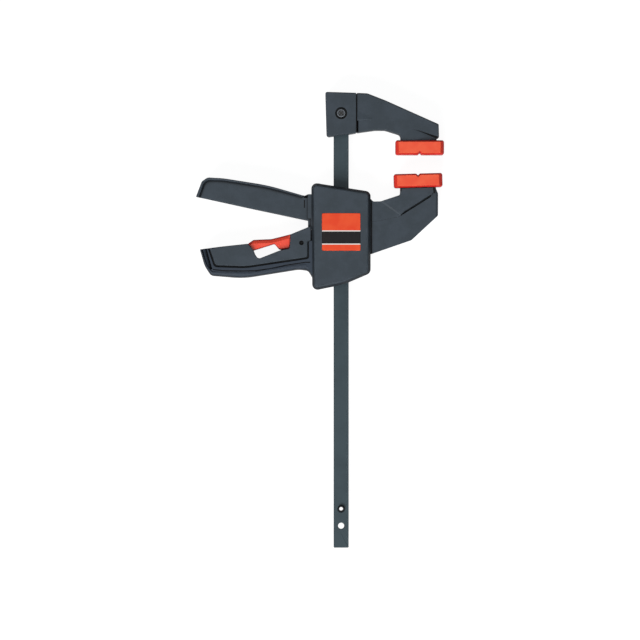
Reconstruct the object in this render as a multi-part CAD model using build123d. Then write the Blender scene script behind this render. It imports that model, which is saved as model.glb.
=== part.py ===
from build123d import *
import os
from math import cos, degrees, hypot, pi

# A one-hand quick release bar clamp, 150 mm opening by 60 mm throat. Millimetres.
# It is modelled about the bar: X runs from the bar to the pads, Y along the bar towards
# the fixed jaw, Z through the thickness, with Y = 0 at the fixed pad's working face.
# place() then sets the origin at the middle of the underside, as the clamp lies on a bench.

# Fits
running_gap = 0.05       # radial gap of a pin that something turns on
slide_gap = 0.15         # each side of the bar in the guides
plate_gap = 0.12         # each side of the bar in the drive plates
free_gap = 0.3           # between neighbours that move apart

# Bar
bar_width = 9.5
bar_thickness = 5.0
bar_reach = 247.5        # fixed pad's face to the bar's free end
bar_corner = 0.6
hanging_hole_d = 3.9
hanging_hole_from_end = 13.8
stop_pin_d = 4.4
stop_pin_bore = 2.4
stop_pin_from_end = 24.5
stop_pin_stand = 2.0     # out of each face of the bar

# Pads
throat = 60.0            # bar's edge to the pads' outer edge
pad_length = 30.6
pad_height = 9.2
pad_width = 22.0
pad_corner = 1.4
pad_groove_width = 2.4
pad_groove_depth = 1.1
pad_socket_depth = 5.0   # how far the jaw's foot enters the pad
toe_in = 1.5             # degrees that the sliding jaw's pad leans in
jaw_opening = 11.75      # between the pads' faces at their middle, as stored
moving_pad_inset = 1.1   # the sliding jaw's pad sits this much nearer to the bar

# Fixed jaw
jaw_thickness = 19.0
jaw_box_thickness = 21.0
jaw_box_left = 10.0      # bar's middle to the box's outer side
jaw_box_right = 9.9      # bar's middle to the groove between box and arm
jaw_top = 39.6
jaw_bottom = 11.0        # underside beside the bar
jaw_groove = 0.7
jaw_groove_depth = 0.9
jaw_nose_height = 19.3   # top of the nose over the pad's face
jaw_shoulder = 18.0      # where the arm's top starts to slope
jaw_underside = 15.4     # highest part of the arm's underside
jaw_edge = 0.8           # chamfer along the jaw's front and back edges
socket_top = 36.0        # bar's top end over the pad's face
socket_fit = 0.02
jaw_screw_y = 26.2
jaw_screw_d = 3.0
jaw_screw_head_d = 5.2
jaw_screw_head_h = 2.0
jaw_screw_recess_d = 7.7
jaw_screw_recess_depth = 2.6
jaw_nut_flats = 5.5
jaw_nut_h = 2.4
cross_size = 2.9
cross_slot = 0.8
cross_depth = 1.1

# Sliding jaw arm
arm_nose_back = 38.2     # nose's lower corner below the fixed pad's face
arm_elbow = 53.6         # lower bend of the arm
arm_root_top = 29.1      # arm's top edge at the housing
arm_root_bottom = 62.6   # arm's lower edge at the housing
shell_wall = 2.2
weld = 0.5               # how far inner ribs run into the walls
arm_rib = 1.8
arm_rib_count = 3
arm_first_rib = 12.0     # from the housing
arm_last_rib = 6.0       # from the foot's inner side
arm_flat = 0.332         # share of the arm's length before its top edge climbs
foot_inset = 3.2         # jaw's foot from the pad's ends

# Housing
housing_left = 18.8      # cover's edges from the bar's middle
housing_right = 18.5
housing_top_left = 17.4  # cover's corners below the fixed pad's face
housing_top_right = 23.2
housing_bottom_left = 85.6
housing_bottom_mid = 81.6
housing_bottom_right = 74.4
housing_corner = 3.4
housing_half = 10.0      # shells' outer face from the middle plane
cover_thickness = 3.0
cover_bevel = 2.2
cover_bevel_depth = 1.3
cover_edge = 0.5         # shells stand back from the cover's edge
mechanism_half = 8.0     # half the room inside the shells
mechanism_left = 16.3    # inner walls from the bar's middle
mechanism_right = 16.0
cheek_left = 20.9        # shells' rear edge beside the lever
cheek_top = 24.8
cheek_bottom = 47.0
cheek_overlap = 4.0      # into the housing's wall
label_width = 24.1
label_height = 24.8
label_y = 48.1           # label's middle below the fixed pad's face
label_depth = 0.8
label_corner = 0.8

# Guides
guide_half_width = 6.6
guide_half_depth = 5.5
guide_length = 4.4
upper_guide_top = 22.7   # below the fixed pad's face
lower_guide_bottom = 77.8

# Pump lever
lever_pivot_x = -9.0
lever_pivot_y = -30.5
lever_pin_d = 3.0
lever_hub_r = 3.9
lobe_offset = 5.5        # lobe's middle left of the pivot
lobe_r = 5.0
lever_web = 15.2         # thickness of the lever's web
lever_rim_width = 21.0
rim_side = 2.9           # rim's height at the free end
rim_top = 2.4            # rim's height along the top
rim_end_x = -24.3

# Drive plates and the web under their spring
plate_thickness = 1.5
plate_count = 2
plate_half_depth = 6.5
plate_tail = 15.2        # left of the bar's middle
plate_nose = 11.0        # right of it
abutment_height = 3.0
abutment_gap = 1.6       # from the bar's edge
web_top = 51.0
web_thickness = 3.0

# Springs round the bar
spring_wire = 1.0
spring_bar_gap = 0.3     # over the bar's corners
spring_turns = 5

# Brake
fulcrum_x = -7.2
fulcrum_y = -57.0
fulcrum_d = 3.0
brake_thickness = 3.0
brake_tilt = 0.14        # radians that the plate leans while it holds
brake_slot_left = 5.4    # slot's ends from the bar's middle with the plate square
brake_slot_right = 4.9
brake_tail = 15.5
brake_gap = 0.03         # plate to fulcrum pin

# Release lever
release_pin_x = -25.0
release_pin_y = -55.4
release_pin_d = 2.4
release_hub_r = 3.2
release_width = 15.0
release_arm_width = 7.0
release_tip_x = -13.8
release_tip_y = -64.1
release_tip_r = 1.3
release_knee_x = -19.6
release_knee_y = -65.2
release_knee_r = 1.5

# Fixed handle
handle_panel_half = 10.4
handle_grip_half = 10.9
handle_tongue_half = 8.3
grip_skin = 2.4
bay_half = 8.2           # half the room for the release lever
joint_line = 0.25        # half the width of the line round the handle's panel

# Housing screws
screw_d = 3.0
screw_head_d = 5.6
screw_head_h = 1.8
screw_boss_r = 2.9
screw_head_sink = 0.4
screw_tip_wall = 2.2     # left between the screw's tip and the front face
screw_clearance = 0.1    # round the shank behind the front shell

# Points of the free outlines: x from the bar's middle, y from the fixed pad's face, corner radius
handle_points = {
    "root_top": (-15.0, -43.2, 0),
    "cheek": (-20.9, -45.6, 1.5),
    "notch_top": (-31.9, -50.1, 0.5),
    "notch_bottom": (-32.6, -58.9, 1.4),
    "finger_start": (-38.6, -60.4, 6),
    "finger_low": (-52.4, -65.9, 2.8),
    "finger_end": (-55.8, -59.6, 3),
    "palm_start": (-58.9, -56.0, 1.2),
    "palm_crown": (-73.9, -57.6, 60),
    "tip_top": (-89.0, -59.5, 0.8),
    "tip_side": (-86.0, -70.0, 14),
    "tip_low": (-82.0, -76.1, 3.5),
    "underside": (-61.5, -77.8, 60),
    "waist": (-26.6, -72.2, 16),
    "step": (-19.8, -73.4, 4),
    "root_low": (-15.0, -83.0, 0),
}
panel_points = {
    "tip_top": (-83.4, -58.8, 0),
    "tip_low": (-79.6, -70.2, 2.6),
    "underside": (-60.0, -70.8, 40),
    "housing_low": (-20.6, -65.0, 1.4),
    "housing_top": (-20.6, -54.6, 0.8),
    "root": (-15.0, -52.6, 0),
}
hollow_points = {
    "tip_top": (-79.8, -61.4, 1),
    "top": (-62.6, -59.9, 1),
    "under_finger": (-57.4, -67.4, 2),
    "inner_top": (-44.2, -64.8, 0),
    "inner_low": (-44.2, -67.8, 1),
    "tip_low": (-76.6, -69.2, 1),
}
release_bay_points = {
    "mouth_left": (-41.3, -48.0, 0),
    "mouth_right": (-31.2, -48.0, 0),
    "pocket": (-31.2, -52.4, 0),
    "roof_left": (-24.5, -49.9, 0),
    "roof_right": (-15.3, -49.6, 0),
    "floor_right": (-15.3, -68.4, 0),
    "floor_left": (-41.3, -66.6, 1),
}
finger_bay_points = {
    "top_left": (-60.4, -50.0, 0),
    "top_right": (-50.0, -50.0, 0),
    "right": (-50.0, -63.0, 0),
    "low": (-53.0, -65.0, 0),
    "corner": (-56.4, -64.0, 1),
    "left": (-60.4, -59.6, 1),
}
lever_bay_points = {
    "top_left": (-30.0, -24.2, 0),
    "top_right": (-15.3, -24.2, 0),
    "low_right": (-15.3, -46.6, 0),
    "lip": (-21.2, -46.6, 0),
    "low_left": (-30.0, -49.6, 0),
}
lever_points = {
    "tip_low": (-91.6, -26.3, 0.6),
    "tip_side": (-88.5, -18.0, 5),
    "tip_top": (-84.2, -14.4, 6),
    "crown": (-74.0, -14.9, 60),
    "back": (-46.2, -19.2, 120),
    "rim_end": (-24.6, -25.4, 0),
    "dip": (-22.8, -25.7, 0.6),
    "bump": (-21.2, -24.9, 1.0),
    "neck_top": (-18.8, -24.9, 0),
    "neck": (-18.4, -33.6, 0),
    "neck_low": (-18.9, -38.6, 0),
    "heel": (-19.2, -42.4, 0.8),
    "heel_side": (-21.0, -41.4, 3),
    "belly": (-57.5, -33.7, 200),
}
release_points = {
    "tip": (-58.4, -55.6, 0.5),
    "tip_top": (-55.1, -53.4, 2),
    "top": (-43.8, -53.3, 10),
    "root_top": (-32.4, -50.2, 0.6),
    "shoulder": (-32.4, -52.6, 0),
    "heel": (-32.4, -58.9, 0),
    "hook": (-37.4, -59.9, 1),
    "hollow_end": (-39.2, -59.4, 1),
    "hollow": (-42.2, -55.9, 1.2),
    "tip_low": (-54.9, -59.7, 0.5),
}

# Worked out from the sizes above
pad_right = bar_width / 2 + throat
pad_left = pad_right - pad_length
pad_middle = (pad_left + pad_right) / 2
foot_left = pad_left + foot_inset
foot_right = pad_right - foot_inset
plates_top = lever_pivot_y - lobe_r - free_gap
plates_bottom = plates_top - plate_count * plate_thickness
web_y = -web_top
brake_top = fulcrum_y - fulcrum_d / 2 - brake_gap
brake_bottom = brake_top - brake_thickness
spring_mean_r = hypot(bar_width, bar_thickness) / 2 + spring_bar_gap + spring_wire / 2
lower_guide_top = -lower_guide_bottom + guide_length
stop_pin_y = -bar_reach + stop_pin_from_end
hanging_hole_y = -bar_reach + hanging_hole_from_end
back_z = -housing_half - cover_thickness
screw_places = {
    "top_left": (-14.3, -20.9),
    "top_right": (14.3, -27.4),
    "bottom_right": (14.1, -70.6),
    "bottom_left": (-14.4, -80.6),
    "handle": (-69.0, -64.2),
    "arm": (52.5, -31.0),
}


def outline(corners):
    """Face with straight sides, whose corners are (x, y, radius)."""
    points = [(x, y) for x, y, _ in corners]
    path = FilletPolyline(points, radius=[r for _, _, r in corners], close=True)
    return make_face(path.edges())


def slab(face, z0, z1):
    """The face, extruded between two heights."""
    return Pos(0, 0, z0) * extrude(face, amount=z1 - z0, dir=(0, 0, 1))


def block(x0, x1, y0, y1, z0, z1):
    """Box between two corners."""
    return Pos((x0 + x1) / 2, (y0 + y1) / 2, (z0 + z1) / 2) * Box(x1 - x0, y1 - y0, z1 - z0)


def post(x, y, d, z0, z1):
    """Cylinder of diameter d along Z."""
    return Pos(x, y, (z0 + z1) / 2) * Cylinder(d / 2, z1 - z0)


def link(start, start_r, end, end_r):
    """Face of two circles and the strip between them."""
    first = Pos(*start) * Circle(start_r)
    second = Pos(*end) * Circle(end_r)
    return make_hull(first.edges() + second.edges())


def bevelled(solid, size, up=True):
    """Chamfers the edges of the top or the bottom face."""
    face = solid.faces().sort_by(Axis.Z)[-1 if up else 0]
    return chamfer(face.outer_wire().edges(), size)


def bar():
    body = block(-bar_width / 2, bar_width / 2, -bar_reach, socket_top, -bar_thickness / 2, bar_thickness / 2)
    body = fillet(body.edges().filter_by(Axis.Z), bar_corner)
    half = bar_thickness / 2
    body -= post(0, stop_pin_y, stop_pin_d, -half, half)
    body -= post(0, hanging_hole_y, hanging_hole_d, -half, half)
    body -= post(0, jaw_screw_y, jaw_screw_d + 2 * running_gap, -half, half)
    return body


def stop_pin():
    half = bar_thickness / 2 + stop_pin_stand
    body = chamfer(post(0, stop_pin_y, stop_pin_d, -half, half).edges(), 0.3)
    return body - post(0, stop_pin_y, stop_pin_bore, -half, half)


# ---- Fixed jaw ----

def fixed_jaw_face():
    """Outline of the box, the arm and its foot."""
    foot_bottom = pad_height - pad_socket_depth
    return outline([
        (-jaw_box_left, jaw_top, 1.2),
        (jaw_shoulder - 1.5, jaw_top - 0.9, 6),
        (jaw_shoulder + 9.8, jaw_top - 5.3, 40),
        (pad_right - 3.5, jaw_nose_height, 1.0),
        (foot_right, pad_height + 2.2, 1.2),
        (foot_right, foot_bottom, 0),
        (foot_left, foot_bottom, 0),
        (foot_left, pad_height + 3.2, 2.4),
        (jaw_shoulder + 9.5, jaw_underside, 6),
        (jaw_shoulder + 3.0, jaw_underside, 8),
        (bar_width / 2, jaw_bottom + 2.0, 0),
        (-jaw_box_left + 1.0, jaw_bottom - 0.1, 1.6),
    ])


def fixed_jaw_box_face():
    """Outline of the box round the bar, which stands out from the arm."""
    return outline([
        (-jaw_box_left, jaw_top, 1.2),
        (jaw_box_right, jaw_top - 0.6, 0),
        (jaw_box_right, jaw_bottom + 2.4, 0),
        (bar_width / 2, jaw_bottom + 2.0, 0),
        (-jaw_box_left + 1.0, jaw_bottom - 0.1, 1.6),
    ])


def fixed_jaw():
    half = jaw_thickness / 2
    box_half = jaw_box_thickness / 2
    arm = slab(fixed_jaw_face(), -half, half)
    arm = bevelled(bevelled(arm, jaw_edge), jaw_edge, up=False)
    box = slab(fixed_jaw_box_face(), -box_half, box_half)
    box = bevelled(bevelled(box, jaw_edge), jaw_edge, up=False)
    body = arm + box
    for side in (-1, 1):
        cut_z = sorted((side * (half - jaw_groove_depth), side * (box_half + 1)))
        body -= block(jaw_box_right, jaw_box_right + jaw_groove, jaw_bottom - 5, jaw_top + 5, *cut_z)
    body -= pad()
    hole = bar_width / 2 + socket_fit
    deep = bar_thickness / 2 + socket_fit
    body -= block(-hole, hole, jaw_bottom - 5, socket_top, -deep, deep)
    body -= post(0, jaw_screw_y, jaw_screw_d + 2 * running_gap, -box_half, box_half)
    body -= post(0, jaw_screw_y, jaw_screw_recess_d, box_half - jaw_screw_recess_depth, box_half)
    body -= nut_solid(jaw_nut_flats + 2 * running_gap)
    return body


def nut_solid(flats):
    """Hexagon pocket or nut at the back of the jaw's box."""
    face = Pos(0, jaw_screw_y) * RegularPolygon(flats / 2, 6, major_radius=False)
    back = -jaw_box_thickness / 2
    return slab(face, back, back + jaw_nut_h)


def fixed_jaw_nut():
    body = nut_solid(jaw_nut_flats)
    back = -jaw_box_thickness / 2
    return body - post(0, jaw_screw_y, jaw_screw_d, back, back + jaw_nut_h)


def fixed_jaw_screw():
    seat = jaw_box_thickness / 2 - jaw_screw_recess_depth
    head = post(0, jaw_screw_y, jaw_screw_head_d, seat, seat + jaw_screw_head_h)
    head = fillet(head.edges().sort_by(Axis.Z)[-1], 0.6)
    arm = Box(cross_size, cross_slot, cross_depth)
    top = Pos(0, jaw_screw_y, seat + jaw_screw_head_h - cross_depth / 2)
    cross = top * Rot(0, 0, 45) * arm + top * Rot(0, 0, -45) * arm
    shank = post(0, jaw_screw_y, jaw_screw_d, -jaw_box_thickness / 2 + 0.2, seat)
    return head + shank - cross


# ---- Pads ----

def pad():
    """Cap with its working face at Y = 0 and its back at Y = pad_height."""
    half = pad_width / 2
    body = block(pad_left, pad_right, 0, pad_height, -half, half)
    body = fillet(body.edges().filter_by(Axis.Z), pad_corner)
    body = chamfer(body.faces().sort_by(Axis.Z)[-1].edges(), 0.8)
    body = chamfer(body.faces().sort_by(Axis.Z)[0].edges(), 0.8)
    groove = outline([
        (pad_middle - pad_groove_width / 2, 0, 0),
        (pad_middle, pad_groove_depth, 0),
        (pad_middle + pad_groove_width / 2, 0, 0),
    ])
    body -= slab(groove, -half, half)
    inner = jaw_thickness / 2 - (pad_width - jaw_thickness) / 2
    low = pad_height - pad_socket_depth
    return body - block(foot_left, foot_right, low, pad_height, -inner, inner)


def moving_pad_place():
    """Turns a pad over, drops it to the sliding jaw and leans it in."""
    middle = Location((pad_middle - moving_pad_inset, -jaw_opening, 0))
    return middle * Rot(0, 0, toe_in) * Location((-pad_middle, 0, 0))


def moving_pad():
    return moving_pad_place() * mirror(pad(), Plane.XZ)


# ---- Sliding jaw: shells ----

def cover_face(inset=0.0):
    """Outline of the raised cover, or of the shells just inside it."""
    r = housing_corner - inset
    return outline([
        (-housing_left + inset, -housing_top_left - inset, r),
        (housing_right - inset, -housing_top_right - inset, r),
        (housing_right - inset, -housing_bottom_right + inset, r),
        (1.5, -housing_bottom_mid + inset, 40),
        (-housing_left + 0.6 + inset, -housing_bottom_left + inset, r),
    ])


def arm_face(inset=0.0):
    """Outline of the sliding jaw's arm, from inside the housing to its foot."""
    root = housing_right - 3.0
    bend = housing_right + arm_flat * (foot_left - housing_right)
    foot_top = -jaw_opening - pad_height + pad_socket_depth
    return outline([
        (root, -arm_root_top + 2.0 - inset, 0),
        (housing_right + 0.3, -arm_root_top + 1.2 - inset, 0),
        (housing_right + 1.6, -arm_root_top - 0.3 - inset, 1.6),
        (bend + inset, -arm_root_top - 0.2 - inset, 4),
        (foot_left - 0.2 + inset, -jaw_opening - pad_height - 4.3 - inset, 1.6),
        (foot_left + inset, foot_top - inset, 0),
        (foot_right - 1.9 - inset, foot_top - inset, 0),
        (foot_right - 1.9 - inset, -jaw_opening - pad_height - 0.3, 0),
        (foot_right - 0.6 - inset, -jaw_opening - pad_height - 3.4, 1.4),
        (foot_right - 0.6 - inset, -arm_nose_back + inset, 1.4),
        (foot_left + 7.0, -arm_elbow + inset, 14),
        (root, -arm_root_bottom - 1.0 + inset, 0),
    ])


def handle_face():
    """Outer outline of the fixed handle, with the notch for the release lever."""
    return outline(handle_points.values())


def panel_face(inset=0.0):
    """Inner panel of the fixed handle, inside the palm grip's joint line."""
    shared = ["root_top", "cheek", "notch_top", "notch_bottom", "finger_start",
              "finger_low", "finger_end", "palm_start", "palm_crown"]
    moves = {"tip_top": (1, 0), "tip_low": (1, 1), "underside": (0, 1),
             "housing_low": (-1, 1), "housing_top": (-1, 0), "root": (0, 0)}
    inner = [
        (x + inset * moves[name][0], y + inset * moves[name][1], r)
        for name, (x, y, r) in panel_points.items()
    ]
    return outline([handle_points[name] for name in shared] + inner)


def grip_face():
    """Band of the palm grip: the handle's outline outside its panel."""
    band = handle_face() - panel_face()
    left = 2 * handle_points["tip_top"][0]
    low = 2 * handle_points["root_low"][1]
    return band & make_face(Polyline(
        (left, handle_points["palm_crown"][1]),
        (-housing_left - 0.1, handle_points["notch_top"][1]),
        (-housing_left - 0.1, low),
        (left, low),
        close=True,
    ))


def tongue_face():
    """Core of the handle that the palm grip wraps."""
    core = offset(handle_face(), -grip_skin)
    return core.faces().sort_by(SortBy.AREA)[-1]


def release_bay():
    """Room for the release lever, from the notch to the brake."""
    return outline(release_bay_points.values())


def finger_bay():
    """Slot in the notch's outer wall, where the finger piece sinks in."""
    return outline(finger_bay_points.values())


def lever_bay():
    """Room for the pump lever in the housing's rear wall."""
    return outline(lever_bay_points.values())


def handle_hollow():
    """Hollow inside the handle's free end."""
    return outline(hollow_points.values())


def main_hollow():
    """Hollow of the housing."""
    return outline([
        (-mechanism_left, -upper_guide_top - guide_length / 2 + 0.7, 0),
        (mechanism_right, -upper_guide_top - guide_length / 2 - 0.2, 0),
        (mechanism_right, -lower_guide_bottom + guide_length / 2, 0),
        (-mechanism_left, -lower_guide_bottom - 0.8, 0),
    ])


def arm_pockets():
    """Coring of the arm between its ribs."""
    room = arm_face(shell_wall)
    pockets = slab(room, 0, jaw_thickness / 2 - shell_wall)
    low = -arm_root_bottom - 5
    high = -jaw_opening - pad_height - 3.0
    pockets &= block(housing_right + 0.5, foot_right, low, high, -1, jaw_thickness)
    first = housing_right + arm_first_rib
    last = foot_left + arm_last_rib
    for i in range(arm_rib_count):
        x = first + i * (last - first) / (arm_rib_count - 1)
        pockets -= block(x, x + arm_rib, low, high, -1, jaw_thickness)
    x, y = screw_places["arm"]
    return pockets - post(x, y, 2 * screw_boss_r, -1, jaw_thickness)


def half_shell():
    """Front half of the sliding jaw before its screw and pin holes."""
    foot = slab(arm_face(), 0, jaw_thickness / 2)
    foot = bevelled(foot, jaw_edge)
    body = foot - moving_pad()
    body += slab(cover_face(cover_edge), 0, housing_half)
    far = 2 * housing_bottom_left
    beside_cover = block(-far, -housing_left - joint_line, -far, 0, 0, handle_panel_half)
    body += slab(panel_face(joint_line), 0, handle_panel_half) & beside_cover
    body += slab(tongue_face(), 0, handle_tongue_half)
    inside = -housing_left + cheek_overlap
    body += block(-cheek_left, inside, -cheek_bottom, -cheek_top, 0, housing_half)
    body -= arm_pockets()
    body -= slab(main_hollow(), 0, mechanism_half)
    body -= slab(lever_bay(), 0, mechanism_half)
    body -= slab(release_bay(), 0, bay_half)
    body -= slab(finger_bay(), 0, bay_half)
    body -= slab(handle_hollow(), 0, bay_half)
    left = -mechanism_left - weld
    right = mechanism_right + weld
    body += block(left, right, web_y - web_thickness, web_y, 0, mechanism_half)
    rest = plates_top + running_gap
    near = bar_width / 2 + abutment_gap
    body += block(near, right, rest, rest + abutment_height, 0, mechanism_half)
    for x, y in screw_places.values():
        body += post(x, y, 2 * screw_boss_r, 0, jaw_thickness / 2)
    channel = bar_width / 2 + free_gap
    depth = bar_thickness / 2 + free_gap
    body -= block(-channel, channel, -housing_bottom_left - 5, -10, 0, depth)
    for top in (-upper_guide_top, lower_guide_top):
        body -= block(-guide_half_width, guide_half_width, top - guide_length, top, 0, guide_half_depth)
    return body


def pin_holes(z0, z1):
    """Holes for the three cross pins."""
    holes = post(lever_pivot_x, lever_pivot_y, lever_pin_d, z0, z1)
    holes += post(fulcrum_x, fulcrum_y, fulcrum_d, z0, z1)
    return holes + post(release_pin_x, release_pin_y, release_pin_d, z0, z1)


def screw_top(name):
    """Height of the screw head's outer face, below which it sinks."""
    skin = {"handle": handle_panel_half, "arm": jaw_thickness / 2}
    return -skin.get(name, housing_half + cover_thickness) + screw_head_sink


def screw_tip(name):
    """Height of the screw's tip inside the front shell."""
    skin = {"handle": handle_panel_half, "arm": jaw_thickness / 2}
    return skin.get(name, housing_half) - screw_tip_wall


def pilot_holes():
    """Holes in the front shell that the screws cut their thread in."""
    holes = Part()
    for name, (x, y) in screw_places.items():
        holes += post(x, y, screw_d, 0, screw_tip(name))
    return holes


def screw_holes(names):
    """Room for the heads and shanks behind the front shell."""
    holes = Part()
    for name in names:
        x, y = screw_places[name]
        seat = screw_top(name) + screw_head_h
        holes += post(x, y, screw_head_d + 2 * running_gap, 2 * back_z, seat)
        holes += post(x, y, screw_d + 2 * screw_clearance, seat, 0)
    return holes


def front_shell():
    return half_shell() - pin_holes(0, housing_half + cover_thickness) - pilot_holes()


def rear_shell():
    return mirror(half_shell(), Plane.XY) - pin_holes(back_z, 0) - screw_holes(screw_places)


def housing_screws():
    screws = Part()
    for name, (x, y) in screw_places.items():
        top = screw_top(name)
        seat = top + screw_head_h
        head = fillet(post(x, y, screw_head_d, top, seat).edges().sort_by(Axis.Z)[0], 0.5)
        arm = Box(cross_size, cross_slot, cross_depth)
        middle = Pos(x, y, top + cross_depth / 2)
        screw = head + post(x, y, screw_d, seat, screw_tip(name))
        screws += screw - middle * arm - middle * Rot(0, 0, 90) * arm
    return screws


# ---- Covers, label, grip and guides ----

def cover():
    """Front cover before its label recess."""
    top = housing_half + cover_thickness
    body = slab(cover_face(), housing_half, top)
    face = body.faces().sort_by(Axis.Z)[-1]
    return chamfer(face.edges(), cover_bevel_depth, cover_bevel, reference=face)


def label_face(gap=0.0):
    width = label_width + 2 * gap
    height = label_height + 2 * gap
    return Pos(0, -label_y) * RectangleRounded(width, height, label_corner)


def front_cover():
    top = housing_half + cover_thickness
    return cover() - slab(label_face(running_gap), top - label_depth, top)


def label_plate():
    top = housing_half + cover_thickness
    return slab(label_face(), top - label_depth, top)


def rear_cover():
    under = [name for name in screw_places if name not in ("handle", "arm")]
    return mirror(cover(), Plane.XY) - screw_holes(under)


def palm_grip():
    """Soft channel round the handle's palm side and free end."""
    half = handle_grip_half
    tongue = slab(tongue_face(), -handle_tongue_half, handle_tongue_half)
    return slab(grip_face(), -half, half) - tongue


def guide(top):
    """Slide insert round the bar, with its upper face at the given height."""
    half_w = guide_half_width
    half_d = guide_half_depth
    bore_w = bar_width / 2 + slide_gap
    bore_d = bar_thickness / 2 + slide_gap
    body = block(-half_w, half_w, top - guide_length, top, -half_d, half_d)
    return body - block(-bore_w, bore_w, top - guide_length, top, -bore_d, bore_d)


# ---- Pins and springs ----

def cross_pin(x, y, d, half):
    return chamfer(post(x, y, d, -half, half).edges(), 0.25)


def spring(low, high):
    """Compression spring round the bar between two heights."""
    rise = high - low - spring_wire
    start = low + spring_wire / 2
    coil = Helix(pitch=rise / spring_turns, height=rise, radius=spring_mean_r,
                 center=(0, start, 0), direction=(0, 1, 0))
    section = Plane(origin=coil @ 0, z_dir=coil % 0) * Circle(spring_wire / 2)
    return sweep(section, path=coil, is_frenet=True)


# ---- Pump lever ----

def lever_face():
    """Outline of the handle from its tip to the housing."""
    return outline(lever_points.values())


def lever_root_face():
    """Outline of the hidden end: the web that carries hub and cam lobe."""
    x, y = lever_pivot_x, lever_pivot_y
    lobe_x = x - lobe_offset
    low = lobe_r * cos(pi / 4)
    neck_x, neck_top, _ = lever_points["neck_top"]
    inside = neck_x - 1.2
    return outline([
        (inside, neck_top, 0),
        (x - 3.0, neck_top - 1.2, 3),
        (x, y + lever_hub_r - 0.2, 0),
        (x, y - lever_hub_r + 0.2, 0),
        (lobe_x, y - low, 0),
        (lobe_x - low, y - low, 0),
        (inside + 1.3, lever_points["neck_low"][1] + 0.4, 0),
        (inside, lever_points["neck_low"][1] - 0.4, 0),
    ])


def pump_lever():
    web = lever_web / 2
    rim = lever_rim_width / 2
    body = slab(lever_face(), -web, web)
    body += slab(lever_root_face(), -web, web)
    body += post(lever_pivot_x, lever_pivot_y, 2 * lever_hub_r, -web, web)
    body += post(lever_pivot_x - lobe_offset, lever_pivot_y, 2 * lobe_r, -web, web)
    band = lever_face() - Pos(rim_side, -rim_top) * lever_face()
    far = 2 * lever_points["tip_low"][0]
    flange = slab(band, -rim, rim) & block(far, rim_end_x, far, 0, -rim, rim)
    biggest = flange.solids().sort_by(SortBy.VOLUME)[-1]
    body += biggest
    bore = lever_pin_d + 2 * running_gap
    return body - post(lever_pivot_x, lever_pivot_y, bore, -web, web)


# ---- Drive and brake plates ----

def drive_plate(index):
    top = plates_top - index * plate_thickness
    bore_w = bar_width / 2 + plate_gap
    bore_d = bar_thickness / 2 + plate_gap
    half = plate_half_depth
    body = block(-plate_tail, plate_nose, top - plate_thickness, top, -half, half)
    body = fillet(body.edges().filter_by(Axis.Y), 1.0)
    return body - block(-bore_w, bore_w, top - plate_thickness, top, -bore_d, bore_d)


def brake_plate():
    """Plate with an oversize slot, leaning on the fulcrum pin."""
    half = plate_half_depth
    bore_d = bar_thickness / 2 + plate_gap
    body = block(-brake_tail, plate_nose, brake_bottom, brake_top, -half, half)
    body = fillet(body.edges().filter_by(Axis.Y), 1.0)
    body -= block(-brake_slot_left, brake_slot_right, brake_bottom, brake_top, -bore_d, bore_d)
    lean = Location((fulcrum_x, fulcrum_y, 0)) * Rot(0, 0, degrees(brake_tilt))
    return lean * Location((-fulcrum_x, -fulcrum_y, 0)) * body


# ---- Release lever ----

def release_face():
    """Outline of the finger piece and its root behind the handle's cheeks."""
    corners = list(release_points.values())
    hub = [
        (release_pin_x, release_pin_y + release_hub_r, 0),
        (release_pin_x, release_pin_y - release_hub_r, 0),
    ]
    return outline(corners[:5] + hub + corners[5:])


def release_lever():
    wide = release_width / 2
    narrow = release_arm_width / 2
    pin = (release_pin_x, release_pin_y)
    knee = (release_knee_x, release_knee_y)
    tip = (release_tip_x, release_tip_y)
    body = slab(release_face(), -wide, wide)
    body += post(*pin, 2 * release_hub_r, -wide, wide)
    body += slab(link(pin, release_hub_r, knee, release_knee_r), -narrow, narrow)
    body += slab(link(knee, release_knee_r, tip, release_tip_r), -narrow, narrow)
    return body - post(*pin, release_pin_d + 2 * running_gap, -wide, wide)


def build():
    """All pieces about the bar, by name."""
    pieces = {
        "bar": bar(),
        "stop_pin": stop_pin(),
        "fixed_jaw": fixed_jaw(),
        "fixed_jaw_screw": fixed_jaw_screw(),
        "fixed_jaw_nut": fixed_jaw_nut(),
        "fixed_pad": pad(),
        "moving_pad": moving_pad(),
        "front_shell": front_shell(),
        "rear_shell": rear_shell(),
        "front_cover": front_cover(),
        "rear_cover": rear_cover(),
        "label_plate": label_plate(),
        "palm_grip": palm_grip(),
        "upper_guide": guide(-upper_guide_top),
        "lower_guide": guide(lower_guide_top),
        "lever_pin": cross_pin(lever_pivot_x, lever_pivot_y, lever_pin_d, housing_half),
        "brake_fulcrum_pin": cross_pin(fulcrum_x, fulcrum_y, fulcrum_d, housing_half),
        "release_pin": cross_pin(release_pin_x, release_pin_y, release_pin_d, handle_panel_half - 0.6),
        "housing_screws": housing_screws(),
        "drive_spring": spring(web_y, plates_bottom),
        "brake_spring": spring(lower_guide_top, brake_bottom),
        "pump_lever": pump_lever(),
        "brake_plate": brake_plate(),
        "release_lever": release_lever(),
    }
    for i in range(plate_count):
        pieces[f"drive_plate_{i + 1}"] = drive_plate(i)
    return pieces


def place(pieces):
    """Shift that puts the origin at the middle of the underside."""
    boxes = [shape.bounding_box() for shape in pieces.values()]
    low = [min(getattr(box.min, axis) for box in boxes) for axis in "XYZ"]
    high = [max(getattr(box.max, axis) for box in boxes) for axis in "XY"]
    return Location((-(low[0] + high[0]) / 2, -(low[1] + high[1]) / 2, -low[2]))


pieces = build()
shift = place(pieces)
os.makedirs("parts", exist_ok=True)
for name, shape in pieces.items():
    export_step(shift * shape, f"parts/{name}.step")
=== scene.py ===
import bpy, bmesh, math
from mathutils import Vector, Matrix, Euler


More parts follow.
